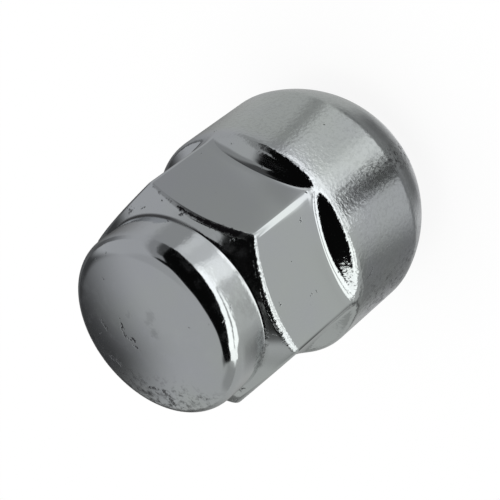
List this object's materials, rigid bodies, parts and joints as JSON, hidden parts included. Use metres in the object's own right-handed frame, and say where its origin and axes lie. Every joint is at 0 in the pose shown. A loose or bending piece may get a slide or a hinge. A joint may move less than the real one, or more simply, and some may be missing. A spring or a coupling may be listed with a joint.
{
  "type": "lug nut",
  "caption": "Closed-end chromed wheel nut: hexagon with a stepped, domed end, round collar and ball seat, and a blind threaded hole.",
  "frame": {"origin": "centre of the open end face, on the thread axis, which is also the bottom centre of the nut as it stands", "axes": "+Z along the thread axis towards the closed end, +X through a corner of the hexagon"},
  "size_m": [0.0222, 0.0222, 0.0311],
  "materials": {
    "chrome_plate": "bright chrome plate on cold-formed steel, slightly worn"
  },
  "bodies": {
    "root": {"lug_nut": "chrome_plate"}
  },
  "joints": []
}
